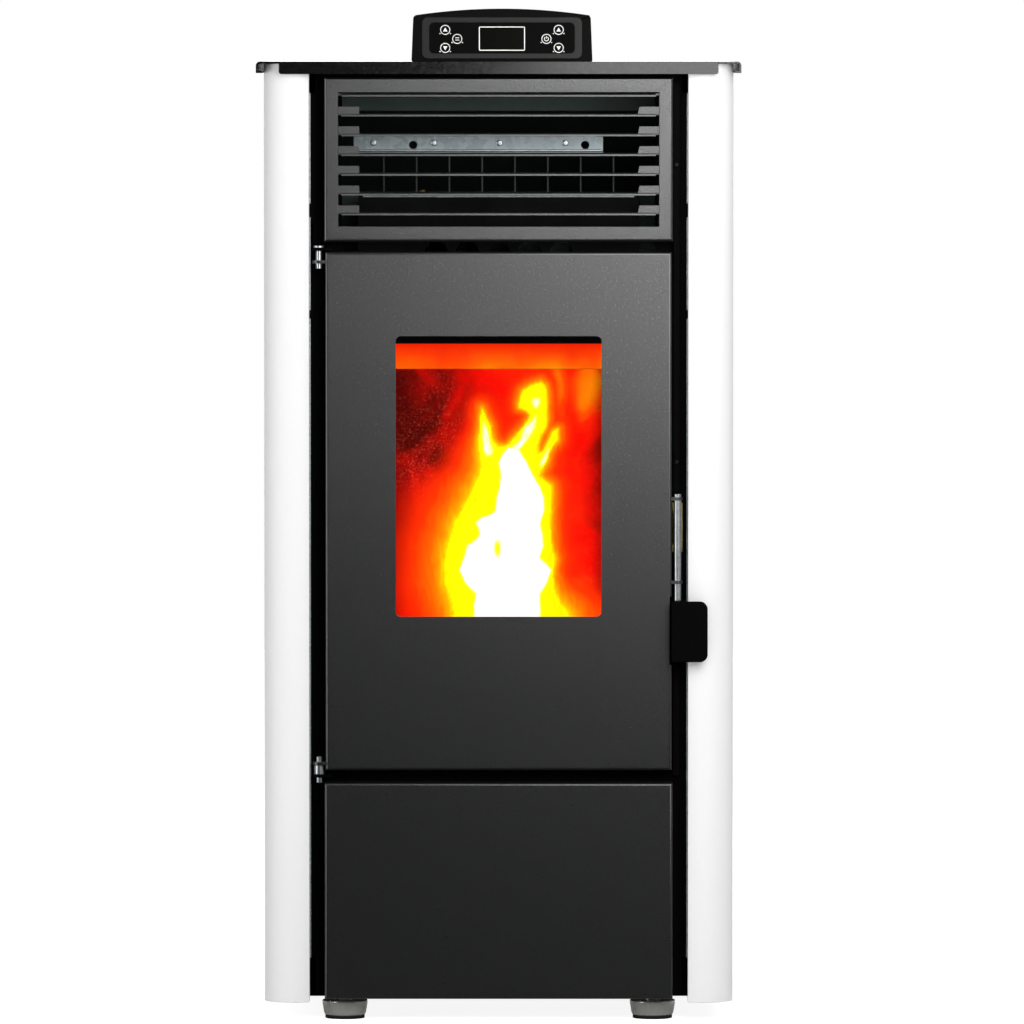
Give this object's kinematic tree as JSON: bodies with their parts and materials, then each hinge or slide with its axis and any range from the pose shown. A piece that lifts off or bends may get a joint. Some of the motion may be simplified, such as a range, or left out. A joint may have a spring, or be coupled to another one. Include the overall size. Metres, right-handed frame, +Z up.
{
  "type": "pellet stove",
  "caption": "Free-standing wood pellet stove with a windowed fire door, louvred warm-air grille, hopper lid and display control on top.",
  "frame": {"origin": "on the floor, under the middle of the overall box", "axes": "+Z up, the door faces -Y, +X to the right seen from the front"},
  "size_m": [0.464, 0.492, 0.9705],
  "materials": {
    "white_powder_coat": "satin",
    "anthracite_powder_coat": "textured matt",
    "black_powder_coat": "satin",
    "galvanised_sheet": "spangled",
    "zinc_plated_steel": "bright zinc",
    "yellow_zinc_steel": "yellow zinc",
    "heat_paint": "matt heat-resistant",
    "vermiculite_board": "pressed board",
    "cast_iron": "as cast",
    "plain_steel": "mill",
    "foot_steel": "turned",
    "motor_case": "cast",
    "ceramic_glass": "clear",
    "glass_fibre": "knitted",
    "black_plastic": "fine texture",
    "fascia_plastic": "gloss",
    "key_plastic": "matt",
    "circuit_board": "solder resist",
    "inlet_plastic": "moulded"
  },
  "bodies": {
    "stove": {"air_intake_pipe": "plain_steel", "air_outlet_guard": "galvanised_sheet", "auger_tube": "heat_paint", "back_panel": "black_powder_coat", "baffle_plate": "vermiculite_board", "base_plate": "black_powder_coat", "casing_screws": "zinc_plated_steel", "control_board": "circuit_board", "control_fascia": "fascia_plastic", "control_housing": "black_plastic", "display_window": "fascia_plastic", "door_hinge_brackets": "black_powder_coat", "exhaust_fan_housing": "galvanised_sheet", "exhaust_fan_motor": "motor_case", "firebox": "heat_paint", "firebox_liners": "vermiculite_board", "flue_spigot": "heat_paint", "front_frame": "black_powder_coat", "front_grille": "anthracite_powder_coat", "gearmotor": "motor_case", "heat_exchanger": "heat_paint", "hinge_pins": "zinc_plated_steel", "hopper": "galvanised_sheet", "hopper_guard": "zinc_plated_steel", "igniter": "plain_steel", "latch_strike": "yellow_zinc_steel", "lower_front_panel": "anthracite_powder_coat", "panel_rails": "galvanised_sheet", "power_inlet": "inlet_plastic", "room_blower_housing": "galvanised_sheet", "room_blower_motor": "motor_case", "side_panel_left": "white_powder_coat", "side_panel_right": "white_powder_coat", "smoke_duct": "galvanised_sheet", "top_plate": "black_powder_coat"},
    "door": {"door_panel": "anthracite_powder_coat", "door_frame": "heat_paint", "door_rope_seal": "glass_fibre", "glass_gasket": "glass_fibre", "door_glass": "ceramic_glass", "glass_clips": "zinc_plated_steel"},
    "handle": {"door_handle": "black_powder_coat", "latch_rod": "zinc_plated_steel"},
    "lid": {"hopper_lid": "black_powder_coat"},
    "drawer": {"ash_drawer": "plain_steel"},
    "pot": {"burn_pot": "cast_iron"},
    "auger": {"auger_screw": "plain_steel"},
    "exhaust_wheel": {"exhaust_fan_wheel": "zinc_plated_steel"},
    "blower_wheel": {"room_blower_wheel": "zinc_plated_steel"},
    "left_up": {"key_left_up": "key_plastic"},
    "left_down": {"key_left_down": "key_plastic"},
    "set": {"key_set": "key_plastic"},
    "power": {"key_power": "key_plastic"},
    "right_up": {"key_right_up": "key_plastic"},
    "right_down": {"key_right_down": "key_plastic"},
    "rocker": {"power_rocker": "inlet_plastic"},
    "front_left_foot": {"foot_front_left": "foot_steel"},
    "front_right_foot": {"foot_front_right": "foot_steel"},
    "rear_left_foot": {"foot_rear_left": "foot_steel"},
    "rear_right_foot": {"foot_rear_right": "foot_steel"}
  },
  "joints": [
    {"name": "fire_door", "type": "hinge", "parent": "stove", "child": "door", "pos_m": [-0.172, -0.22, 0.4895], "axis": [0, 0, -1], "range_deg": [0, 105]},
    {"name": "door_handle_turn", "type": "hinge", "parent": "door", "child": "handle", "pos_m": [0.1715, -0.222, 0.426], "axis": [0, 0, -1], "range_deg": [0, 30]},
    {"name": "hopper_lid_hinge", "type": "hinge", "parent": "stove", "child": "lid", "pos_m": [0, 0.1745, 0.9235], "axis": [-1, 0, 0], "range_deg": [0, 100]},
    {"name": "ash_drawer_slide", "type": "slide", "parent": "stove", "child": "drawer", "axis": [0, -1, 0], "range_m": [0, 0.147]},
    {"name": "burn_pot_lift", "type": "slide", "parent": "stove", "child": "pot", "axis": [0, 0, 1], "range_m": [0, 0.06]},
    {"name": "auger_turn", "type": "hinge", "parent": "stove", "child": "auger", "pos_m": [0, -0.007, 0.509], "axis": [0, -0.7071, 0.7071], "continuous": true},
    {"name": "exhaust_fan_turn", "type": "hinge", "parent": "stove", "child": "exhaust_wheel", "pos_m": [-0.044, 0.115, 0.145], "axis": [1, 0, 0], "continuous": true},
    {"name": "room_blower_turn", "type": "hinge", "parent": "stove", "child": "blower_wheel", "pos_m": [0.105, 0.0735, 0.13], "axis": [1, 0, 0], "continuous": true},
    {"name": "left_up_key_press", "type": "slide", "parent": "stove", "child": "left_up", "axis": [0, 0.9903, -0.1392], "range_m": [0, 0.0006], "stiffness_N_per_m": 500},
    {"name": "left_down_key_press", "type": "slide", "parent": "stove", "child": "left_down", "axis": [0, 0.9903, -0.1392], "range_m": [0, 0.0006], "stiffness_N_per_m": 500},
    {"name": "set_key_press", "type": "slide", "parent": "stove", "child": "set", "axis": [0, 0.9903, -0.1392], "range_m": [0, 0.0006], "stiffness_N_per_m": 500},
    {"name": "power_key_press", "type": "slide", "parent": "stove", "child": "power", "axis": [0, 0.9903, -0.1392], "range_m": [0, 0.0006], "stiffness_N_per_m": 500},
    {"name": "right_up_key_press", "type": "slide", "parent": "stove", "child": "right_up", "axis": [0, 0.9903, -0.1392], "range_m": [0, 0.0006], "stiffness_N_per_m": 500},
    {"name": "right_down_key_press", "type": "slide", "parent": "stove", "child": "right_down", "axis": [0, 0.9903, -0.1392], "range_m": [0, 0.0006], "stiffness_N_per_m": 500},
    {"name": "power_rocker_tilt", "type": "hinge", "parent": "stove", "child": "rocker", "pos_m": [0.16, 0.205, 0.108], "axis": [-1, 0, 0], "range_deg": [0, 20]},
    {"name": "front_left_foot_screw", "type": "slide", "parent": "stove", "child": "front_left_foot", "axis": [0, 0, -1], "range_m": [0, 0.012]},
    {"name": "front_right_foot_screw", "type": "slide", "parent": "stove", "child": "front_right_foot", "axis": [0, 0, -1], "range_m": [0, 0.012]},
    {"name": "rear_left_foot_screw", "type": "slide", "parent": "stove", "child": "rear_left_foot", "axis": [0, 0, -1], "range_m": [0, 0.012]},
    {"name": "rear_right_foot_screw", "type": "slide", "parent": "stove", "child": "rear_right_foot", "axis": [0, 0, -1], "range_m": [0, 0.012]}
  ],
  "couplings": [
    {"joint": "ash_drawer_slide", "follows": "fire_door", "m_per_rad": 0.08}
  ]
}
